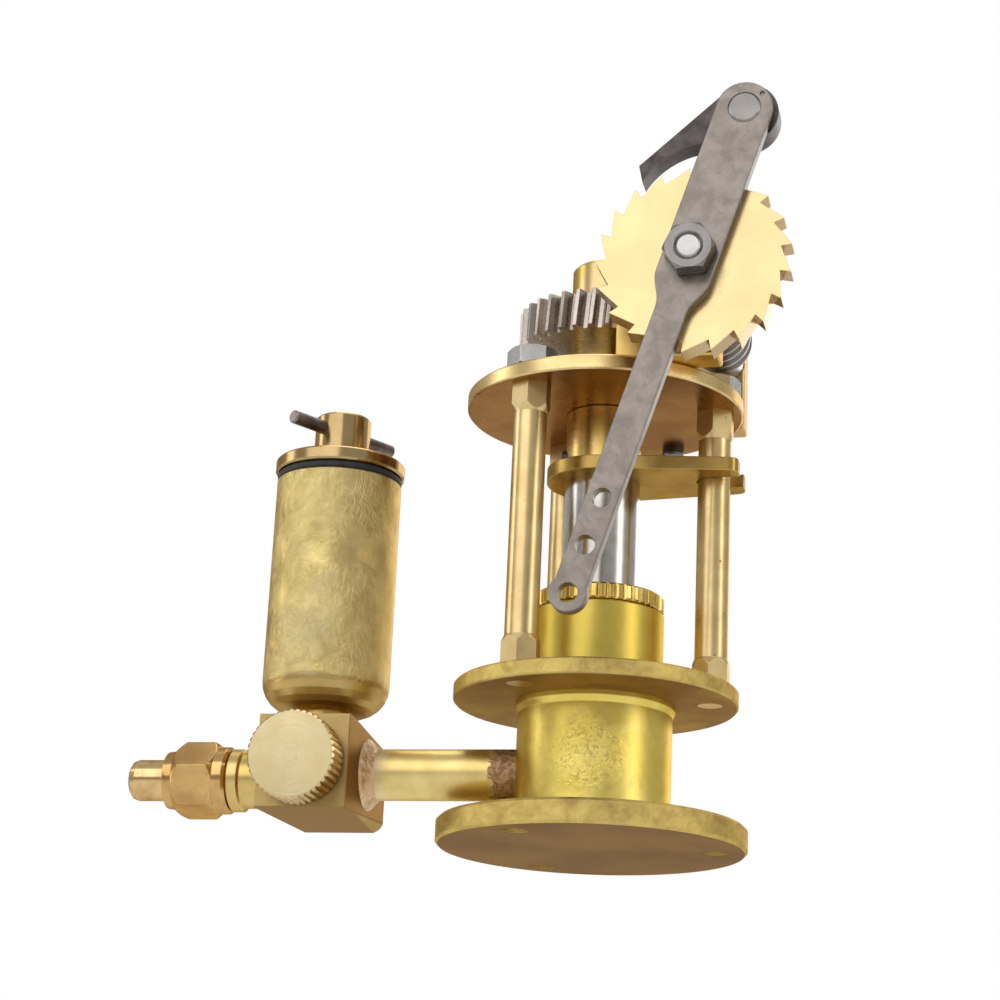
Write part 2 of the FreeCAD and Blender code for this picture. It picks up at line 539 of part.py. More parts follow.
def pawl_pin():
    proud = 0.25
    back = PAWL_Y1 + END_FLOAT
    shank = along_y(PIN_R, LEVER_Y0 - proud, back, 0, 0)
    rounded = turned([(0, 0), (PIN_R - 0.3, 0), (PIN_R, 0.3), (PIN_R, 1.0), (0, 1.0)])
    shank = shank.common(along_y(PIN_R, LEVER_Y0 - proud + 1.0, back, 0, 0))
    pin = shank.fuse(to_y(rounded, 0, LEVER_Y0 - proud, 0))
    pin = pin.fuse(along_y(PIN_HEAD_R, back, back + PIN_HEAD_H, 0, 0))
    x, z = pin_place()
    pin.translate(V(x, 0, z))
    return pin


def tangent_point(px, pz, radius):
    """Where the line from (px, pz) touches, on its upper side, the circle about the origin."""
    reach = math.hypot(px, pz)
    turn = math.atan2(pz, px) - math.acos(radius / reach)
    return V(radius * math.cos(turn), PAWL_Y0, radius * math.sin(turn))


def pawl():
    """A round head on the pin with a long hooked finger that drops behind the ratchet's teeth."""
    def at(pair):
        return V(pair[0], PAWL_Y0, pair[1])
    touch = tangent_point(PAWL_TIP_TOP[0], PAWL_TIP_TOP[1], PAWL_HEAD_R)
    foot = V(-0.6, PAWL_Y0, -math.sqrt(PAWL_HEAD_R ** 2 - 0.36))
    side = V(PAWL_HEAD_R * math.cos(0.2), PAWL_Y0, PAWL_HEAD_R * math.sin(0.2))
    edges = [Part.makeLine(at(PAWL_TIP_LOW), at(PAWL_TIP_TOP)), Part.makeLine(at(PAWL_TIP_TOP), touch),
             Part.Arc(touch, side, foot).toShape(), Part.makeLine(foot, at(PAWL_HOLLOW_END)),
             Part.Arc(at(PAWL_HOLLOW_END), at(PAWL_HOLLOW_MID), at(PAWL_TIP_LOW)).toShape()]
    blade = Part.Face(Part.Wire(Part.__sortEdges__(edges))).extrude(V(0, PAWL_Y1 - PAWL_Y0, 0))
    blade = blade.cut(along_y(PIN_R + RUN, PAWL_Y0, PAWL_Y1, 0, 0))
    x, z = pin_place()
    blade.translate(V(x, 0, z))
    return blade


# ---- delivery pipe, valve and oil cup -----------------------------------------------

def block_faces():
    half = BLOCK_SIDE / 2.0
    return BLOCK_X - half, BLOCK_X + half, BLOCK_Z - half, BLOCK_Z + half


def delivery_pipe():
    x0 = block_faces()[1] - PIPE_IN_BLOCK
    return along_x(PIPE_R, x0, PIPE_IN_X, PIPE_Z).cut(along_x(PIPE_BORE_R, x0, PIPE_IN_X, PIPE_Z))


def pipe_solder():
    """The fillet of silver solder where the pipe enters the valve block."""
    ring = [(PIPE_R, 0), (SOLDER_R, 0), (SOLDER_R - 0.25, 0.4), (SOLDER_R - 0.8, 0.85),
            (PIPE_R + 0.3, SOLDER_W - 0.4), (PIPE_R, SOLDER_W)]
    return turned(ring, V(block_faces()[1], 0, PIPE_Z), X_AXIS)


def valve_block():
    """The block that joins pipe, needle valve, cup and union, with its passages drilled through."""
    x0, x1, z0, z1 = block_faces()
    block = Part.makeBox(BLOCK_SIDE, 2 * BLOCK_HALF_Y, BLOCK_SIDE, V(x0, -BLOCK_HALF_Y, z0))
    back = [e for e in block.Edges if e.BoundBox.YMin > BLOCK_HALF_Y - 0.01]
    block = block.makeFillet(BLOCK_EDGE_R, back)
    corners = Part.makeCone(BLOCK_TURNED_FRONT_R, BLOCK_TURNED_BACK_R, 2 * BLOCK_HALF_Y,
                            V(BLOCK_X, -BLOCK_HALF_Y, BLOCK_Z), Y_AXIS)
    block = block.common(corners)
    block = block.cut(along_x(PIPE_R, x1 - PIPE_IN_BLOCK, x1, PIPE_Z))
    block = block.cut(along_x(BLOCK_WAY_R, x0, x1, PIPE_Z))
    block = block.cut(along_x(NIPPLE_ROOT_R, x0, x0 + NIPPLE_ROOT, UNION_Z))
    front = -BLOCK_HALF_Y
    block = block.cut(along_y(NEEDLE_ROOM_R, front, SEAT_Y, VALVE_X, VALVE_Z))
    block = block.cut(along_y(VALVE_GLAND_R, front, front + VALVE_GLAND_DEEP, VALVE_X, VALVE_Z))
    block = block.cut(along_y(SEAT_R, SEAT_Y, 0, VALVE_X, VALVE_Z))
    return block.cut(upright(OIL_WAY_R, VALVE_Z, z1, VALVE_X, OIL_WAY_Y))


def valve_gland():
    """The gland that holds the spindle's packing, screwed into the front of the block."""
    front = -BLOCK_HALF_Y
    head, back = front - VALVE_HEAD_H, front + VALVE_GLAND_DEEP - 0.1
    gland = along_y(VALVE_GLAND_R, front, back, VALVE_X, VALVE_Z)
    gland = gland.fuse(along_y(VALVE_HEAD_R, head, front, VALVE_X, VALVE_Z))
    return gland.cut(along_y(SPINDLE_R + RUN, head, back, VALVE_X, VALVE_Z))


def valve_spindle():
    length = SPINDLE_TIP - KNOB_FRONT - 0.5
    spindle = turned([(0, 0), (SPINDLE_R, 0), (SPINDLE_R, length - 3.2), (0.77, length), (0, length)])
    return to_y(spindle, VALVE_X, KNOB_FRONT + 0.5, VALVE_Z)


def valve_knob():
    thick = KNOB_BACK - KNOB_FRONT
    edge = 0.35
    disc = knurled(KNOB_R, thick, KNOB_GROOVES, GROOVE_DEPTH)
    trim = turned([(0, 0), (KNOB_R - edge, 0), (KNOB_R, edge), (KNOB_R, thick - edge),
                   (KNOB_R - edge, thick), (0, thick)])
    disc = disc.common(trim).cut(upright(SPINDLE_R, 0.5, thick))
    return to_y(disc, VALVE_X, KNOB_FRONT, VALVE_Z)


def oil_cup():
    inner = CUP_R - CUP_WALL
    floor = CUP_BOTTOM + 2.0
    arc = []
    for k in range(7):
        a = math.radians(-90 + 15 * k)
        arc.append((CUP_R - CUP_ROUND + CUP_ROUND * math.cos(a),
                    CUP_BOTTOM + CUP_ROUND + CUP_ROUND * math.sin(a)))
    half = [(0, CUP_BOTTOM)] + arc + [(CUP_R, CUP_TOP - 0.2), (CUP_R - 0.2, CUP_TOP), (inner, CUP_TOP),
                                      (inner, floor + 2.0), (inner - 2.0, floor), (0, floor)]
    cup = turned(half, V(CUP_X, 0, 0))
    return cup.cut(upright(OIL_WAY_R, CUP_BOTTOM, floor, VALVE_X, OIL_WAY_Y))


def cup_foot():
    """A short stub between the block and the rounded bottom of the cup."""
    z1 = block_faces()[3]
    stub = upright(CUP_FOOT_R, z1, CUP_BOTTOM, CUP_X)
    return stub.cut(upright(OIL_WAY_R, z1, CUP_BOTTOM, VALVE_X, OIL_WAY_Y))


def cup_seal():
    low, high, inner, outer = CUP_TOP, LID_BOTTOM, LID_SPIGOT_R + 0.1, CUP_R
    return turned([(inner, low), (outer - 0.35, low), (outer, low + 0.4), (outer, high - 0.4),
                   (outer - 0.35, high), (inner, high)], V(CUP_X, 0, 0))


def cup_lid():
    edge = 0.3
    lid = turned([(0, LID_SPIGOT_BOTTOM), (LID_SPIGOT_R - 0.5, LID_SPIGOT_BOTTOM),
                  (LID_SPIGOT_R, LID_SPIGOT_BOTTOM + 0.5), (LID_SPIGOT_R, LID_BOTTOM),
                  (LID_R - edge, LID_BOTTOM), (LID_R, LID_BOTTOM + edge), (LID_R, LID_TOP - edge),
                  (LID_R - edge, LID_TOP), (LID_HUB_R, LID_TOP), (LID_HUB_R, LID_HUB_TOP - edge),
                  (LID_HUB_R - edge, LID_HUB_TOP), (0, LID_HUB_TOP)], V(CUP_X, 0, 0))
    return lid.cut(tommy_bar())


def tommy_bar():
    a = math.radians(BAR_TURN)
    way = V(-math.sin(a), -math.cos(a), 0)
    edge = 0.25
    bar = turned([(0, 0), (BAR_R - edge, 0), (BAR_R, edge), (BAR_R, 2 * BAR_HALF - edge),
                  (BAR_R - edge, 2 * BAR_HALF), (0, 2 * BAR_HALF)],
                 V(CUP_X, 0, BAR_Z) - way * BAR_HALF, way)
    return bar


# ---- outlet union -------------------------------------------------------------------

def along_union(profile, x):
    """Turn (radius, distance) points about the union's axis, with distance counted towards -X."""
    return turned(profile, V(x, 0, UNION_Z), V(-1, 0, 0))


def union_nipple():
    x0 = block_faces()[0]
    r, ring, thread = NIPPLE_R, NIPPLE_RING_R, NIPPLE_THREAD_R
    root_r, root = NIPPLE_ROOT_R, -NIPPLE_ROOT
    body = along_union([(0, root), (root_r, root), (root_r, 0), (r, 0), (r, 5.4), (ring, 5.7),
                        (ring, 7.3), (thread, 7.3), (thread, 11.8), (thread - 0.6, 12.4),
                        (0, 12.4)], x0)
    chamber = along_union([(0, root), (0.9, root), (0.9, -2.2), (2.2, -0.9), (2.2, 6.2),
                           (1.3, 6.2), (1.3, 10.4), (3.3, 12.4), (0, 12.4)], x0)
    return body.cut(chamber)


def union_tail():
    """The coned tail the nut draws in: a collar inside the nut, a neck, then the plain outlet."""
    x0 = block_faces()[0] - 10.65
    end = x0 - TAIL_END_X
    return along_union([(1.2, 0), (1.5, 0), (3.2, 1.95), (3.6, 2.0), (3.6, 5.3), (TAIL_NECK_R, 5.3),
                        (TAIL_NECK_R, 7.7), (TAIL_R, 7.85), (TAIL_R, end - 1.2),
                        (TAIL_R - 0.3, end - 0.4), (TAIL_R - 0.9, end), (TAIL_BORE_R, end),
                        (TAIL_BORE_R, end - 6.0), (1.2, end - 6.0)], x0)


def union_nut():
    """A hexagon with a plain collar towards the block and a long cone towards the outlet."""
    x1 = UNION_NUT_X1
    length = x1 - UNION_NUT_X0
    hexa = hexagon(UNION_NUT_AC_R, 2.1, length - 1.7, 0)
    cone = turned([(0, 2.1), (5.45, 2.1), (UNION_NUT_AC_R, 2.9), (UNION_NUT_AC_R, length - 3.0),
                   (5.2, length - 1.7), (0, length - 1.7)])
    solid = hexa.common(cone)
    solid = solid.fuse(turned([(0, 0), (4.95, 0), (5.35, 0.5), (5.35, 2.1), (0, 2.1)]))
    solid = solid.fuse(turned([(0, length - 1.7), (4.75, length - 1.7), (4.55, length), (0, length)]))
    inside = turned([(0, 0), (NIPPLE_THREAD_R + RUN, 0), (NIPPLE_THREAD_R + RUN, 8.35),
                     (TAIL_R + RUN, 8.35), (TAIL_R + RUN, length), (0, length)])
    solid = solid.cut(inside)
    solid.rotate(V(0, 0, 0), Z_AXIS, -17)
    solid.Placement = FreeCAD.Placement(V(x1, 0, UNION_Z), FreeCAD.Rotation(Y_AXIS, -90)).multiply(
        solid.Placement)
    return solid


# ---- write every node ---------------------------------------------------------------

keep("base_flange", base_flange())
keep("pump_barrel", pump_barrel())
keep("column_flange", column_flange())
keep("top_plate", top_plate())
for place, angle in COLUMN_ANGLES.items():
    keep("column_" + place, column(angle))
keep("column_nuts", column_nuts())
keep("front_bearing_block", bearing_block(*FRONT_BLOCK_Y))
keep("rear_bearing_block", bearing_block(*REAR_BLOCK_Y))
keep("block_screws", block_screws())
keep("gland_packing", gland_packing())
keep("gland_follower", gland_follower())
keep("gland_nut", gland_nut())
keep("plunger", plunger())
keep("feed_screw", feed_screw())
keep("guide_arm", guide_arm())
keep("drive_nut", drive_nut())
keep("thrust_collar", thrust_collar())
keep("collar_screw", collar_screw())
keep("worm_wheel", worm_wheel())
keep("worm", worm())
keep("worm_shaft", worm_shaft())
keep("shaft_collar", shaft_collar())
keep("ratchet_wheel", ratchet_wheel())
keep("shaft_nut", shaft_nut())
keep("lever", lever())
keep("pawl_pin", pawl_pin())
keep("pawl", pawl())
keep("delivery_pipe", delivery_pipe())
keep("pipe_solder", pipe_solder())
keep("valve_block", valve_block())
keep("valve_gland", valve_gland())
keep("valve_spindle", valve_spindle())
keep("valve_knob", valve_knob())
keep("cup_foot", cup_foot())
keep("oil_cup", oil_cup())
keep("cup_seal", cup_seal())
keep("cup_lid", cup_lid())
keep("tommy_bar", tommy_bar())
keep("union_nipple", union_nipple())
keep("union_tail", union_tail())
keep("union_nut", union_nut())
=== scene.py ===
import math

import bpy
from mathutils import Matrix, Vector


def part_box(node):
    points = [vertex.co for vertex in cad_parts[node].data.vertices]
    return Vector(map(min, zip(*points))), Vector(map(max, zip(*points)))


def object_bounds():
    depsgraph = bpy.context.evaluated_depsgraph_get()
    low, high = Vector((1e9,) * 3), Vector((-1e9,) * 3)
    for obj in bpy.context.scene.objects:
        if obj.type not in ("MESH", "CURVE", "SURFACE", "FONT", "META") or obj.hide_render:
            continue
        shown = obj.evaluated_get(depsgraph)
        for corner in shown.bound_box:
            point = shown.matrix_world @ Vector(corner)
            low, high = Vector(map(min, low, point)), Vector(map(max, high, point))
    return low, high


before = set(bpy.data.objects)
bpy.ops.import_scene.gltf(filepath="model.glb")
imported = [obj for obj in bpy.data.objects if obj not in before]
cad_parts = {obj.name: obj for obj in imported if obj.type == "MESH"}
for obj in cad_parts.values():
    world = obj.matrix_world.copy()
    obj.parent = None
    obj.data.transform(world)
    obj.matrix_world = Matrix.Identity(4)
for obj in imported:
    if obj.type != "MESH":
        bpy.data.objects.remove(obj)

CAD_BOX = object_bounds()

# Blender looks for the ratchet mechanical lubricator. Scene units are metres. The finishes
# count in millimetres, because every object's coordinates are multiplied by MM first.

MM = 1000.0                             # millimetres in a metre

# ---- camera, floor and light, in metres ---------------------------------------------

CAMERA_AT = Vector((0.06578, -0.36230, -0.06083))
CAMERA_RIGHT = Vector((0.97706, 0.20828, 0.04452))
CAMERA_FORWARD = Vector((-0.21189, 0.92944, 0.30205))
LENS_MM, SENSOR_MM = 86.62, 36.0
CLIP_NEAR, CLIP_FAR = 0.01, 20.0
FLOOR_Z, FLOOR_HALF, FLOOR_ROUGHNESS = -0.112, 3.0, 0.85

# What the metal reflects of the room, from straight down (0) to straight up (1).
SKY_LOW = (0.40, (0.16, 0.12, 0.10, 1))
SKY_MIDDLE = (0.56, (0.62, 0.60, 0.57, 1))
SKY_HIGH = (0.95, (0.85, 0.87, 0.90, 1))
SKY_STRENGTH = 0.75

WHITE_LIGHT, WARM_LIGHT = (1.0, 1.0, 1.0), (1.0, 0.97, 0.92)
# name, place from the object's middle, width and height, watts, tint
LIGHTS = (
    ("key", (-0.25, -0.70, 0.42), (0.90, 0.70), 2.6, WHITE_LIGHT),
    ("side", (0.75, -0.25, 0.30), (0.25, 0.70), 1.3, WARM_LIGHT),
    ("left", (-0.80, -0.05, 0.10), (0.25, 0.80), 1.4, WHITE_LIGHT),
    ("top", (0.05, 0.25, 0.85), (0.70, 0.50), 2.5, WHITE_LIGHT),
    ("back", (0.25, 0.80, 0.20), (0.60, 0.50), 1.6, WHITE_LIGHT),
)


def make_camera():
    data = bpy.data.cameras.new("camera")
    data.lens, data.sensor_width = LENS_MM, SENSOR_MM
    data.clip_start, data.clip_end = CLIP_NEAR, CLIP_FAR
    camera = bpy.data.objects.new("camera", data)
    bpy.context.scene.collection.objects.link(camera)
    forward = CAMERA_FORWARD.normalized()
    right = (CAMERA_RIGHT - CAMERA_RIGHT.dot(forward) * forward).normalized()
    up = right.cross(forward)
    turn = Matrix((right, up, -forward)).transposed()
    camera.matrix_world = Matrix.Translation(CAMERA_AT) @ turn.to_4x4()
    bpy.context.scene.camera = camera


def soft_light(name, at, aim, size, watts, tint):
    data = bpy.data.lights.new(name, "AREA")
    data.shape = "RECTANGLE"
    data.size, data.size_y = size
    data.energy = watts
    data.color = tint
    light = bpy.data.objects.new(name, data)
    bpy.context.scene.collection.objects.link(light)
    light.location = at
    light.rotation_euler = (aim - at).to_track_quat("-Z", "Y").to_euler()


def make_world():
    """White behind the object; softer greys, darker low down, for what the metal reflects."""
    world = bpy.data.worlds.new("studio")
    bpy.context.scene.world = world
    world.use_nodes = True
    tree = world.node_tree
    tree.nodes.clear()
    place = tree.nodes.new("ShaderNodeTexCoord")
    split = tree.nodes.new("ShaderNodeSeparateXYZ")
    ramp = tree.nodes.new("ShaderNodeValToRGB")
    seen = tree.nodes.new("ShaderNodeBackground")
    mirrored = tree.nodes.new("ShaderNodeBackground")
    path = tree.nodes.new("ShaderNodeLightPath")
    mix = tree.nodes.new("ShaderNodeMixShader")
    out = tree.nodes.new("ShaderNodeOutputWorld")
    height = tree.nodes.new("ShaderNodeMapRange")
    height.inputs["From Min"].default_value = -1.0
    height.inputs["From Max"].default_value = 1.0
    stops = ramp.color_ramp.elements
    stops[0].position, stops[0].color = SKY_LOW
    stops[1].position, stops[1].color = SKY_HIGH
    stops.new(SKY_MIDDLE[0]).color = SKY_MIDDLE[1]
    seen.inputs["Color"].default_value = (1, 1, 1, 1)
    mirrored.inputs["Strength"].default_value = SKY_STRENGTH
    link = tree.links.new
    link(place.outputs["Generated"], split.inputs[0])
    link(split.outputs["Z"], height.inputs["Value"])
    link(height.outputs["Result"], ramp.inputs["Fac"])
    link(ramp.outputs["Color"], mirrored.inputs["Color"])
    link(path.outputs["Is Camera Ray"], mix.inputs["Fac"])
    link(mirrored.outputs[0], mix.inputs[1])
    link(seen.outputs[0], mix.inputs[2])
    link(mix.outputs[0], out.inputs["Surface"])


def floor_paper():
    """Pale paper, very slightly uneven in tone."""
    paint = Paint("floor_paper", metallic=0.0)
    paint.shader.inputs["Roughness"].default_value = FLOOR_ROUGHNESS
    paint.tone(paint.noise(0.02, 3.0), (0.84, 0.84, 0.83), (0.88, 0.88, 0.87))
    return paint


def make_studio():
    make_world()
    floor = bpy.data.meshes.new("floor")
    h = FLOOR_HALF
    floor.from_pydata([(-h, -h, FLOOR_Z), (h, -h, FLOOR_Z), (h, h, FLOOR_Z), (-h, h, FLOOR_Z)],
                      [], [(0, 1, 2, 3)])
    ground = bpy.data.objects.new("floor", floor)
    bpy.context.scene.collection.objects.link(ground)
    ground.data.materials.append(floor_paper().material)
    middle = (CAD_BOX[0] + CAD_BOX[1]) / 2
    for name, offset, size, watts, tint in LIGHTS:
        soft_light(name, middle + Vector(offset), middle, size, watts, tint)


# ---- a small set of node recipes ----------------------------------------------------

FILM_TINT = (0.68, 0.52, 0.42, 1)       # what tarnish leaves of a low-angle reflection
TONE_LOW, TONE_HIGH = 0.3, 0.7          # the part of a noise over which a tone changes
GRAIN_STRETCH = 20.0                    # how much longer than wide the grain of a bar is
BEVEL_SAMPLES = 4
EDGE_FROM, EDGE_FULL = 0.01, 0.12       # 1 less the cosine between rounded and flat normals


class Paint:
    """One material, with the recipes that all the finishes share."""

    def __init__(self, name, metallic=1.0):
        self.material = bpy.data.materials.new(name)
        self.material.use_nodes = True
        self.tree = self.material.node_tree
        self.tree.nodes.clear()
        out = self.node("OutputMaterial")
        self.shader = self.node("BsdfPrincipled")
        self.link(self.shader.outputs[0], out.inputs["Surface"])
        self.shader.inputs["Metallic"].default_value = metallic
        coords = self.node("TexCoord")
        self.mm = self.math3("SCALE", coords.outputs["Object"], scale=MM)
        self.relief = None

    def node(self, kind):
        return self.tree.nodes.new("ShaderNode" + kind)

    def link(self, source, socket):
        self.tree.links.new(source, socket)

    def feed(self, value, socket):
        if isinstance(value, (int, float, tuple)):
            socket.default_value = value
        else:
            self.link(value, socket)

    # sums on node outputs

    def math(self, operation, a, b, clamp=False):
        node = self.node("Math")
        node.operation = operation
        node.use_clamp = clamp
        self.feed(a, node.inputs[0])
        self.feed(b, node.inputs[1])
        return node.outputs[0]

    def plus(self, a, b):
        return self.math("ADD", a, b)

    def times(self, a, b):
        return self.math("MULTIPLY", a, b)

    def inverse(self, a):
        return self.math("SUBTRACT", 1.0, a)

    def math3(self, operation, a, b=(0.0, 0.0, 0.0), scale=None):
        node = self.node("VectorMath")
        node.operation = operation
        self.feed(a, node.inputs[0])
        self.feed(b, node.inputs[1])
        if scale is not None:
            node.inputs["Scale"].default_value = scale
        return node.outputs["Value" if operation in ("LENGTH", "DISTANCE", "DOT_PRODUCT") else "Vector"]

    def ramp(self, value, low, high):
        """0 below low, 1 above high, smooth between them."""
        node = self.node("MapRange")
        node.interpolation_type = "SMOOTHSTEP"
        node.inputs["From Min"].default_value = low
        node.inputs["From Max"].default_value = high
        self.link(value, node.inputs["Value"])
        return node.outputs["Result"]

    def between(self, value, low, high, edge):
        """1 from low to high, 0 outside, with soft edges."""
        inside = self.ramp(value, low - edge, low + edge)
        outside = self.ramp(value, high - edge, high + edge)
        return self.math("SUBTRACT", inside, outside, clamp=True)

    def blend(self, factor, a, b):
        node = self.node("Mix")
        node.data_type = "RGBA"
        self.feed(factor, node.inputs["Factor"])
        for value, socket in ((a, node.inputs["A"]), (b, node.inputs["B"])):
            self.feed((*value, 1) if isinstance(value, tuple) else value, socket)
        return node.outputs["Result"]

    # places and patterns, in millimetres

    def along(self, axis):
        """The coordinate along X, Y or Z."""
        node = self.node("SeparateXYZ")
        self.link(self.mm, node.inputs[0])
        return node.outputs[axis]

    def underside(self, node, start=0.02, full=0.12):
        """1 on the bottom face of a CAD node, 0 from just above it."""
        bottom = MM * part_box(node)[0][2]
        return self.inverse(self.ramp(self.along("Z"), bottom + start, bottom + full))

    def stretched(self, factors):
        return self.math3("MULTIPLY", self.mm, factors)

    def grain_along(self, lean_degrees):
        """Coordinates drawn out along a line that leans from +Z towards +X."""
        node = self.node("Mapping")
        node.vector_type = "TEXTURE"
        node.inputs["Rotation"].default_value = (0.0, math.radians(lean_degrees), 0.0)
        node.inputs["Scale"].default_value = (1.0, 1.0, GRAIN_STRETCH)
        self.link(self.mm, node.inputs["Vector"])
        return node.outputs[0]

    def noise(self, scale, detail=4.0, rough=0.55, vector=None, twist=0.0):
        """Cloudy values from 0 to 1; scale counts blotches per millimetre."""
        node = self.node("TexNoise")
        node.inputs["Scale"].default_value = scale
        node.inputs["Detail"].default_value = detail
        node.inputs["Roughness"].default_value = rough
        node.inputs["Distortion"].default_value = twist
        self.link(vector or self.mm, node.inputs["Vector"])
        return node.outputs["Fac"]

    def patches(self, scale, detail, rough, low, high):
        """Noise cut into patches: 0 where it is below low, 1 where it is above high."""
        return self.ramp(self.noise(scale, detail, rough), low, high)

    def ragged(self, value, amount, scale, detail=3.0, rough=0.55):
        """The value with an uneven amount added, so that a boundary on it wanders."""
        return self.plus(value, self.times(self.noise(scale, detail, rough), amount))

    def rings(self, node, axis, per_mm):
        """Fine rings of a lathe tool: they depend only on radius and on height along the axis."""
        away = self.math3("SUBTRACT", self.mm, centre_mm(node))
        keep = tuple(0.0 if k == "XYZ".index(axis) else 1.0 for k in range(3))
        radius = self.math3("LENGTH", self.math3("MULTIPLY", away, keep))
        parts = self.node("SeparateXYZ")
        self.link(away, parts.inputs[0])
        join = self.node("CombineXYZ")
        self.link(radius, join.inputs[0])
        self.link(parts.outputs[axis], join.inputs[1])
        return self.noise(per_mm, 3.0, 0.7, vector=join.outputs[0])

    # colour, roughness and relief of the surface

    def tarnish_film(self):
        """An aged surface mirrors less, and more warmly, where it is seen at a low angle."""
        self.shader.inputs["Specular Tint"].default_value = FILM_TINT

    def tone(self, factor, a, b):
        """The base colour goes from a to b with the factor."""
        shade = self.blend(self.ramp(factor, TONE_LOW, TONE_HIGH), a, b)
        self.link(shade, self.shader.inputs["Base Color"])

    def cover(self, factor, colour, strength=1.0):
        """Lay a second colour over the tone: at this strength where the factor is 1."""
        socket = self.shader.inputs["Base Color"]
        below = socket.links[0].from_socket
        self.link(self.blend(self.times(factor, strength), below, colour), socket)

    def roughness(self, factor, low, high):
        node = self.node("MapRange")
        node.inputs["To Min"].default_value = low
        node.inputs["To Max"].default_value = high
        self.link(factor, node.inputs["Value"])
        self.link(node.outputs["Result"], self.shader.inputs["Roughness"])

    def emboss(self, height, depth, strength):
        """Add a bump of this depth, in millimetres, to the surface."""
        node = self.node("Bump")
        node.inputs["Strength"].default_value = strength
        node.inputs["Distance"].default_value = depth / MM
        self.link(height, node.inputs["Height"])
        if self.relief:
            self.link(self.relief, node.inputs["Normal"])
        self.relief = node.outputs["Normal"]
        self.link(self.relief, self.shader.inputs["Normal"])

    def soften_edges(self, radius):
        """Round what the light sees of sharp edges, and give how near each point is to an edge."""
        node = self.node("Bevel")
        node.samples = BEVEL_SAMPLES
        node.inputs["Radius"].default_value = radius / MM
        self.relief = node.outputs["Normal"]
        self.link(self.relief, self.shader.inputs["Normal"])
        flat = self.node("NewGeometry").outputs["Normal"]
        likeness = self.math3("DOT_PRODUCT", self.relief, flat)
        return self.ramp(self.inverse(likeness), EDGE_FROM, EDGE_FULL)


def centre_mm(node):
    low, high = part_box(node)
    return tuple(MM / 2 * (a + b) for a, b in zip(low, high))


def dress(node, paint):
    """Give a CAD node its finish."""
    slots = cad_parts[node].material_slots
    if not slots:
        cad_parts[node].data.materials.append(paint.material)
        return
    for slot in slots:
        slot.material = paint.material


# ---- finishes -----------------------------------------------------------------------

# Colours that several finishes share.
BRASS = (0.68, 0.47, 0.13)
PALE_BRASS = (0.83, 0.63, 0.24)
DULL_BRASS = (0.56, 0.41, 0.10)
BROWN_BRASS = (0.36, 0.20, 0.09)
STEEL = (0.46, 0.45, 0.44)
BLUED_STEEL = (0.10, 0.10, 0.105)

# Places on the object, in millimetres. Each pair is where a change of colour starts and ends.
NECK_DARKENS = (24.9, 25.4)             # height on the barrel where the painted shade of its neck begins
CRAZED_X, CRAZED_Z = 1.0, 13.0          # middle of the crazed patch on the barrel's front
CRAZED_FADES = (6.0, 9.0)               # distance from that middle
CUP_BAND = (25.8, 26.5)                 # height, where the cup's wrinkles begin
PIPE_BURNT = (-13.1, -12.6)             # along X, beside the barrel
PIPE_ASHEN = (-31.2, -29.8)             # along X, beside the solder
LEVER_LEAN = 17.9                       # degrees from upright


def turned_brass(name, node, axis="Z", bright=BRASS, deep=DULL_BRASS, rough=(0.20, 0.36)):
    """Brass off the lathe: fine rings, cloudy tarnish and brighter rubbed edges."""
    paint = Paint(name)
    paint.tarnish_film()
    rub = paint.soften_edges(0.18)
    lines = paint.rings(node, axis, 5.0)
    cloud = paint.noise(0.16, 6.0, 0.6)
    paint.tone(cloud, bright, deep)
    specks = paint.patches(0.9, 3.0, 0.7, low=0.68, high=0.78)
    paint.cover(specks, BROWN_BRASS, strength=0.5)
    paint.cover(rub, PALE_BRASS, strength=0.6)
    paint.roughness(paint.plus(paint.times(lines, 0.5), paint.times(cloud, 0.5)), *rough)
    paint.emboss(lines, depth=0.012, strength=0.6)
    return paint


def matt_brass(name, node):
    """Pickled brass of the flanges: dull, yellow-green and blotchy, with brown stains."""
    olive, straw, rubbed = (0.48, 0.34, 0.105), (0.71, 0.55, 0.18), (0.70, 0.53, 0.20)
    paint = Paint(name)
    paint.tarnish_film()
    rub = paint.soften_edges(0.25)
    blotch = paint.noise(0.30, 9.0, 0.68, twist=0.8)
    paint.tone(blotch, olive, straw)
    stain = paint.patches(0.13, 6.0, 0.65, low=0.54, high=0.68)
    paint.cover(stain, BROWN_BRASS, strength=0.55)
    paint.cover(rub, rubbed, strength=0.4)
    lines = paint.rings(node, "Z", 4.0)
    paint.roughness(blotch, 0.44, 0.62)
    paint.emboss(lines, depth=0.01, strength=0.5)
    paint.emboss(paint.noise(1.2, 6.0, 0.6), depth=0.03, strength=0.35)
    return paint


def tarnish_and_shade_underneath(paint, node, scale, detail, rough, dark, light):
    """Make the bottom face of a flange or plate cloudy brown, between two colours: partly brown tarnish,
    partly painted shade.
    """
    under = paint.underside(node)
    cloud = paint.patches(scale, detail, rough, low=0.35, high=0.65)
    paint.cover(under, paint.blend(cloud, dark, light))


def base_brass():
    """The base flange: matt on top and on its edge; red-brown underneath, partly tarnish and partly
    painted shade.
    """
    paint = matt_brass("base_brass", "base_flange")
    dark, light = (0.22, 0.135, 0.065), (0.29, 0.185, 0.085)
    # The bottom face is darkened: partly brown tarnish, partly painted shade.
    tarnish_and_shade_underneath(paint, "base_flange", 0.05, 4.0, 0.5, dark, light)
    return paint


def flange_brass():
    """The flange that carries the columns: like the base on top; browner underneath, partly tarnish and
    partly painted shade.
    """
    paint = matt_brass("flange_brass", "column_flange")
    dark, light = (0.30, 0.19, 0.08), (0.42, 0.29, 0.10)
    # The bottom face is darkened: partly brown tarnish, partly painted shade.
    tarnish_and_shade_underneath(paint, "column_flange", 0.08, 5.0, 0.6, dark, light)
    return paint


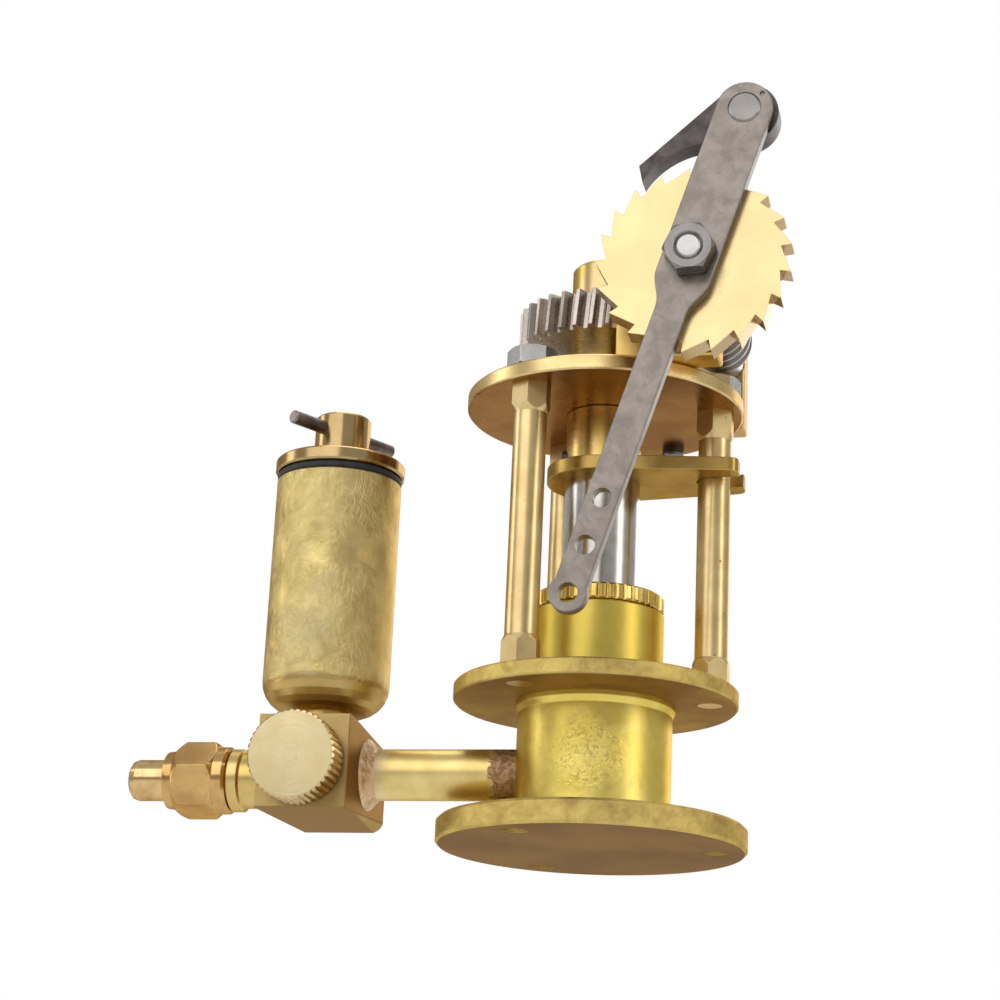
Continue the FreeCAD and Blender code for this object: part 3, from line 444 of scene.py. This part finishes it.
def plate_brass():
    """The top plate: bright edge and top, and a copper-brown underside that is partly tarnish and partly
    painted shade.
    """
    bright, deep = (0.76, 0.58, 0.28), (0.60, 0.43, 0.19)
    paint = turned_brass("plate_brass", "top_plate", bright=bright, deep=deep)
    dark, light = (0.26, 0.14, 0.065), (0.34, 0.20, 0.09)
    # The bottom face is darkened: partly brown tarnish, partly painted shade.
    tarnish_and_shade_underneath(paint, "top_plate", 0.09, 4.0, 0.5, dark, light)
    return paint


def barrel_brass():
    """The barrel: pickled yellow brass with a crazed patch left by the brazing heat."""
    yellow, lemon, cream = (0.76, 0.58, 0.12), (0.88, 0.72, 0.20), (0.92, 0.80, 0.34)
    tan, shaded, scorched = (0.52, 0.36, 0.12), (0.50, 0.36, 0.05), (0.30, 0.19, 0.07)
    paint = Paint("barrel_brass")
    paint.tarnish_film()
    rub = paint.soften_edges(0.25)
    blotch = paint.noise(0.13, 7.0, 0.6, twist=0.8)
    paint.tone(blotch, yellow, lemon)
    paint.cover(paint.patches(0.08, 3.0, 0.5, low=0.58, high=0.74), cream, strength=0.4)
    paint.cover(paint.patches(0.22, 6.0, 0.7, low=0.55, high=0.68), tan, strength=0.4)
    # Painted shade: the barrel's neck above NECK_DARKENS is darkened.
    paint.cover(paint.ramp(paint.along("Z"), *NECK_DARKENS), shaded, strength=0.6)
    paint.cover(rub, PALE_BRASS, strength=0.4)
    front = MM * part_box("pump_barrel")[0][1]
    distance = paint.math3("DISTANCE", paint.mm, (CRAZED_X, front, CRAZED_Z))
    patch = paint.inverse(paint.ramp(paint.ragged(distance, 4.0, 0.3), *CRAZED_FADES))
    crazing = paint.noise(1.0, 8.0, 0.62, twist=1.6)
    pits = paint.times(patch, paint.inverse(paint.ramp(crazing, 0.36, 0.50)))
    paint.cover(pits, scorched, strength=0.5)
    paint.roughness(blotch, 0.30, 0.44)
    paint.emboss(paint.times(crazing, patch), depth=0.20, strength=0.8)
    paint.emboss(paint.noise(0.6, 6.0, 0.6), depth=0.05, strength=0.35)
    return paint


def cup_brass():
    """The oil cup: a crumpled, pearly skin above a smooth band at its foot."""
    olive, straw, grey = (0.54, 0.41, 0.16), (0.73, 0.59, 0.26), (0.50, 0.43, 0.24)
    smooth_brown = (0.46, 0.31, 0.10)
    paint = Paint("cup_brass")
    paint.tarnish_film()
    blotch = paint.noise(0.15, 7.0, 0.6, twist=0.7)
    paint.tone(blotch, olive, straw)
    paint.cover(paint.patches(0.10, 4.0, 0.55, low=0.52, high=0.70), grey, strength=0.5)
    height = paint.ragged(paint.along("Z"), 1.6, 0.3)
    above = paint.ramp(height, *CUP_BAND)
    paint.cover(paint.between(height, *CUP_BAND, edge=0.3), BROWN_BRASS, strength=0.6)
    paint.cover(paint.inverse(above), smooth_brown, strength=0.7)
    wrinkle = paint.noise(0.55, 9.0, 0.66, twist=1.8, vector=paint.stretched((1.0, 1.0, 0.8)))
    thick = paint.patches(0.12, 3.0, 0.5, low=0.38, high=0.62)
    amount = paint.times(paint.plus(0.25, paint.times(thick, 0.75)), above)
    paint.roughness(blotch, 0.28, 0.44)
    paint.emboss(paint.times(wrinkle, amount), depth=0.42, strength=0.9)
    return paint


def column_brass(clean):
    """A drawn and polished pillar with corrosion spots; the more of it is clean, the fewer spots."""
    polished, duller, rubbed = (0.74, 0.57, 0.29), (0.62, 0.46, 0.21), (0.88, 0.70, 0.36)
    corroded, spot_edge = (0.16, 0.09, 0.04), 0.06
    paint = Paint("column_brass")
    paint.tarnish_film()
    rub = paint.soften_edges(0.15)
    paint.tone(paint.noise(0.2), polished, duller)
    paint.cover(rub, rubbed, strength=0.5)
    pit = paint.noise(0.75, 5.0, 0.7, vector=paint.stretched((1.0, 1.0, 0.6)))
    paint.cover(paint.ramp(pit, clean, clean + spot_edge), corroded, strength=0.8)
    grain = paint.noise(3.0, 2.0, vector=paint.stretched((1.0, 1.0, 0.05)))
    paint.roughness(paint.noise(0.5), 0.26, 0.38)
    paint.emboss(grain, depth=0.01, strength=0.5)
    return paint


def milled_brass(name, colour=BRASS, deep=(0.56, 0.37, 0.11), rough=(0.24, 0.40)):
    """Sawn and filed block: straight fine lines, two shades and rubbed edges."""
    paint = Paint(name)
    paint.tarnish_film()
    rub = paint.soften_edges(0.3)
    paint.tone(paint.noise(0.14, 5.0, 0.6), colour, deep)
    paint.cover(rub, PALE_BRASS, strength=0.6)
    lines = paint.noise(2.2, 3.0, 0.7, vector=paint.stretched((0.12, 0.5, 1.6)))
    paint.roughness(lines, *rough)
    paint.emboss(lines, depth=0.012, strength=0.5)
    return paint


def block_brass():
    """The valve block: tan-brown on its front; its side darkened brown with painted shade, and its
    underside with brown tarnish and painted shade.
    """
    tan, deep = (0.54, 0.39, 0.165), (0.43, 0.30, 0.12)
    side_shade_brown, under_shade_brown = (0.24, 0.145, 0.06), (0.28, 0.18, 0.08)
    paint = milled_brass("valve_block_brass", tan, deep, rough=(0.38, 0.54))
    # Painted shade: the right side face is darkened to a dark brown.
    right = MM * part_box("valve_block")[1][0]
    side = paint.ramp(paint.along("X"), right - 0.25, right - 0.05)
    paint.cover(side, side_shade_brown, strength=0.85)
    # The underside is darkened: partly brown tarnish, partly painted shade.
    paint.cover(paint.underside("valve_block", 0.05, 0.25), under_shade_brown, strength=0.8)
    return paint


def pipe_brass():
    """Delivery pipe: satin brass, burnt dark where it is brazed into the barrel."""
    satin, deep, ash = (0.78, 0.61, 0.26), (0.68, 0.51, 0.19), (0.80, 0.66, 0.44)
    scale_dark, scale_light = (0.30, 0.18, 0.10), (0.55, 0.36, 0.20)
    paint = Paint("pipe_brass")
    paint.tarnish_film()
    paint.tone(paint.noise(0.25, 5.0), satin, deep)
    x = paint.ragged(paint.along("X"), 5.0, 0.6, 4.0, 0.6)
    burnt = paint.ramp(x, *PIPE_BURNT)
    fire_scale = paint.patches(1.2, 5.0, 0.7, low=0.4, high=0.6)
    paint.cover(burnt, paint.blend(fire_scale, scale_dark, scale_light))
    ashen = paint.inverse(paint.ramp(x, *PIPE_ASHEN))
    paint.cover(ashen, ash, strength=0.6)
    paint.roughness(paint.plus(burnt, paint.times(ashen, 0.5)), 0.36, 0.60)
    paint.emboss(paint.times(paint.noise(1.5, 5.0, 0.6), burnt), depth=0.25, strength=0.8)
    return paint


def solder_grey():
    """A lumpy fillet of silver solder, half covered by brown flux."""
    flux, dark_flux, silver = (0.80, 0.62, 0.38), (0.55, 0.34, 0.18), (0.80, 0.78, 0.74)
    paint = Paint("solder_grey")
    paint.tone(paint.noise(0.5, 6.0, 0.65), flux, dark_flux)
    paint.cover(paint.patches(0.9, 5.0, 0.7, low=0.56, high=0.66), silver, strength=0.7)
    paint.roughness(paint.noise(1.1), 0.30, 0.60)
    paint.emboss(paint.noise(0.45, 5.0, twist=0.8), depth=0.6, strength=0.9)
    return paint


def ratchet_brass():
    """The ratchet: a smooth pale face, tooth flanks darkened with painted shade, and a few handling
    marks.
    """
    face, deep, flank_shade_brown = (0.70, 0.55, 0.28), (0.63, 0.48, 0.245), (0.44, 0.28, 0.12)
    copper, rubbed = (0.66, 0.34, 0.16), (0.82, 0.70, 0.44)
    paint = Paint("ratchet_brass")
    rub = paint.soften_edges(0.12)
    paint.tone(paint.noise(0.10, 4.0, 0.5), face, deep)
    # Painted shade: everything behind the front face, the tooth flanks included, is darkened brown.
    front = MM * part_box("ratchet_wheel")[0][1]
    flank = paint.ramp(paint.along("Y"), front + 0.05, front + 0.2)
    paint.cover(flank, flank_shade_brown, strength=0.75)
    paint.cover(paint.patches(0.35, 6.0, 0.75, low=0.62, high=0.72), copper, strength=0.45)
    paint.cover(rub, rubbed, strength=0.3)
    paint.roughness(paint.noise(0.3, 5.0), 0.20, 0.32)
    paint.emboss(paint.noise(0.06, 2.0), depth=0.12, strength=0.4)
    return paint


def knob_brass():
    """The valve knob: a face turned to the centre, which spreads light in two fans."""
    pale, deep, fan_strength = (0.64, 0.54, 0.32), (0.58, 0.47, 0.25), 0.75
    paint = turned_brass("knob_brass", "valve_knob", "Y", pale, deep, rough=(0.22, 0.34))
    tangent = paint.node("Tangent")
    tangent.direction_type = "RADIAL"
    tangent.axis = "Y"
    paint.link(tangent.outputs[0], paint.shader.inputs["Tangent"])
    paint.shader.inputs["Anisotropic"].default_value = fan_strength
    return paint


def union_brass(name, node, tint):
    """Bright machined fitting with a warmer, redder colour and brown handling stains."""
    deep, handled = (0.46, 0.27, 0.10), (0.26, 0.13, 0.055)
    paint = turned_brass(name, node, "X", tint, deep, rough=(0.10, 0.22))
    paint.cover(paint.patches(0.35, 5.0, 0.65, low=0.60, high=0.70), handled, strength=0.6)
    return paint


def machined_steel(name, node, axis="Z", colour=STEEL, rough=(0.20, 0.34)):
    """Bright steel with tool rings and a slight brown film."""
    film, rubbed, shade = (0.40, 0.33, 0.26), (0.70, 0.69, 0.67), 0.72
    paint = Paint(name)
    rub = paint.soften_edges(0.14)
    paint.tone(paint.noise(0.2, 5.0), colour, tuple(shade * c for c in colour))
    paint.cover(paint.patches(0.12, 4.0, 0.6, low=0.56, high=0.75), film, strength=0.4)
    paint.cover(rub, rubbed, strength=0.6)
    lines = paint.rings(node, axis, 6.0)
    paint.roughness(lines, *rough)
    paint.emboss(lines, depth=0.012, strength=0.6)
    return paint


def lever_steel():
    """Satin flat bar: blotchy grey with a warm film, and bright rubbed edges."""
    dark, grey = (0.19, 0.165, 0.145), (0.30, 0.265, 0.235)
    light, rubbed = (0.40, 0.36, 0.315), (0.50, 0.47, 0.44)
    paint = Paint("lever_steel")
    rub = paint.soften_edges(0.2)
    blotch = paint.noise(0.35, 8.0, 0.65, twist=0.5)
    paint.tone(blotch, dark, grey)
    paint.cover(paint.patches(0.22, 6.0, 0.7, low=0.60, high=0.72), light, strength=0.5)
    paint.cover(rub, rubbed, strength=0.5)
    grain = paint.noise(2.6, 3.0, 0.7, vector=paint.grain_along(LEVER_LEAN))
    paint.roughness(blotch, 0.30, 0.46)
    paint.emboss(grain, depth=0.012, strength=0.5)
    return paint


def dark_steel(name, rough=(0.26, 0.42), colour=BLUED_STEEL):
    """Blued steel, worn grey along its edges."""
    worn, lift = (0.40, 0.39, 0.38), 2.0
    paint = Paint(name)
    rub = paint.soften_edges(0.18)
    paint.tone(paint.noise(0.4, 6.0, 0.6), colour, tuple(lift * c for c in colour))
    paint.cover(rub, worn, strength=0.6)
    paint.roughness(paint.noise(0.9, 5.0), *rough)
    paint.emboss(paint.noise(1.4, 5.0), depth=0.02, strength=0.4)
    return paint


def black_rubber():
    paint = Paint("black_rubber", metallic=0.0)
    paint.tone(paint.noise(0.8), (0.010, 0.010, 0.010), (0.025, 0.024, 0.023))
    paint.roughness(paint.noise(1.5), 0.5, 0.75)
    paint.emboss(paint.noise(3.0), depth=0.02, strength=0.4)
    return paint


def graphite_braid():
    paint = Paint("graphite_braid", metallic=0.0)
    paint.tone(paint.noise(1.2), (0.03, 0.03, 0.03), (0.08, 0.08, 0.08))
    paint.roughness(paint.noise(2.0), 0.5, 0.8)
    paint.emboss(paint.noise(2.5), depth=0.05, strength=0.6)
    return paint


# ---- which node gets which finish ---------------------------------------------------

def dress_flanges_and_columns():
    dress("base_flange", base_brass())
    dress("pump_barrel", barrel_brass())
    dress("column_flange", flange_brass())
    dress("top_plate", plate_brass())
    dress("column_left", column_brass(clean=0.72))
    dress("column_rear", column_brass(clean=0.70))
    dress("column_right", column_brass(clean=0.63))
    dress("column_nuts", machined_steel("nut_steel", "top_plate", colour=(0.52, 0.52, 0.51)))


def dress_bearings_and_plunger():
    dress("front_bearing_block", milled_brass("front_block_brass", (0.70, 0.50, 0.17)))
    dress("rear_bearing_block", milled_brass("rear_block_brass", (0.68, 0.49, 0.22), (0.54, 0.36, 0.15)))
    dress("block_screws", dark_steel("screw_steel"))
    dress("gland_packing", graphite_braid())
    dress("gland_follower", turned_brass("follower_brass", "gland_follower"))
    dress("gland_nut", turned_brass("gland_brass", "gland_nut",
                                    bright=(0.82, 0.60, 0.22), rough=(0.14, 0.26)))
    dress("plunger", machined_steel("plunger_steel", "plunger",
                                    colour=(0.54, 0.52, 0.49), rough=(0.16, 0.26)))
    dress("feed_screw", machined_steel("screw_thread_steel", "feed_screw", colour=(0.21, 0.18, 0.165)))
    dress("guide_arm", milled_brass("arm_brass", (0.46, 0.31, 0.09), (0.32, 0.20, 0.06)))


def dress_drive():
    dress("drive_nut", turned_brass("drive_brass", "drive_nut", bright=(0.64, 0.46, 0.25)))
    dress("thrust_collar", turned_brass("collar_brass", "thrust_collar", bright=(0.80, 0.57, 0.24)))
    dress("collar_screw", dark_steel("grub_steel"))
    dress("worm_wheel", machined_steel("wheel_steel", "worm_wheel", colour=(0.50, 0.44, 0.39)))
    dress("worm", machined_steel("worm_steel", "worm", "Y", (0.30, 0.28, 0.26), rough=(0.22, 0.36)))
    dress("worm_shaft", machined_steel("shaft_steel", "worm_shaft", "Y"))
    dress("shaft_collar", machined_steel("shaft_collar_steel", "shaft_collar", "Y"))
    dress("ratchet_wheel", ratchet_brass())
    dress("shaft_nut", machined_steel("shaft_nut_steel", "shaft_nut", "Y", (0.25, 0.23, 0.22)))
    dress("lever", lever_steel())
    dress("pawl_pin", machined_steel("pin_steel", "pawl_pin", "Y", (0.28, 0.26, 0.245)))
    dress("pawl", dark_steel("pawl_steel", rough=(0.32, 0.46), colour=(0.055, 0.046, 0.044)))


def dress_oil_side():
    dress("delivery_pipe", pipe_brass())
    dress("pipe_solder", solder_grey())
    dress("valve_block", block_brass())
    dress("valve_gland", turned_brass("valve_gland_brass", "valve_gland", "Y"))
    dress("valve_spindle", machined_steel("spindle_steel", "valve_spindle", "Y"))
    dress("valve_knob", knob_brass())
    dress("cup_foot", milled_brass("cup_foot_brass"))
    dress("oil_cup", cup_brass())
    dress("cup_seal", black_rubber())
    dress("cup_lid", turned_brass("lid_brass", "cup_lid", bright=(0.47, 0.35, 0.17),
                                  deep=(0.39, 0.27, 0.12), rough=(0.12, 0.24)))
    dress("tommy_bar", dark_steel("tommy_bar_steel", colour=(0.13, 0.105, 0.10)))
    dress("union_nipple", turned_brass("nipple_brass", "union_nipple", "X",
                                       bright=(0.68, 0.50, 0.22), rough=(0.24, 0.36)))
    dress("union_tail", union_brass("tail_brass", "union_tail", tint=(0.78, 0.56, 0.28)))
    dress("union_nut", union_brass("union_nut_brass", "union_nut", tint=(0.66, 0.43, 0.17)))


bpy.context.scene.view_settings.view_transform = "Standard"
make_camera()
make_studio()
dress_flanges_and_columns()
dress_bearings_and_plunger()
dress_drive()
dress_oil_side()
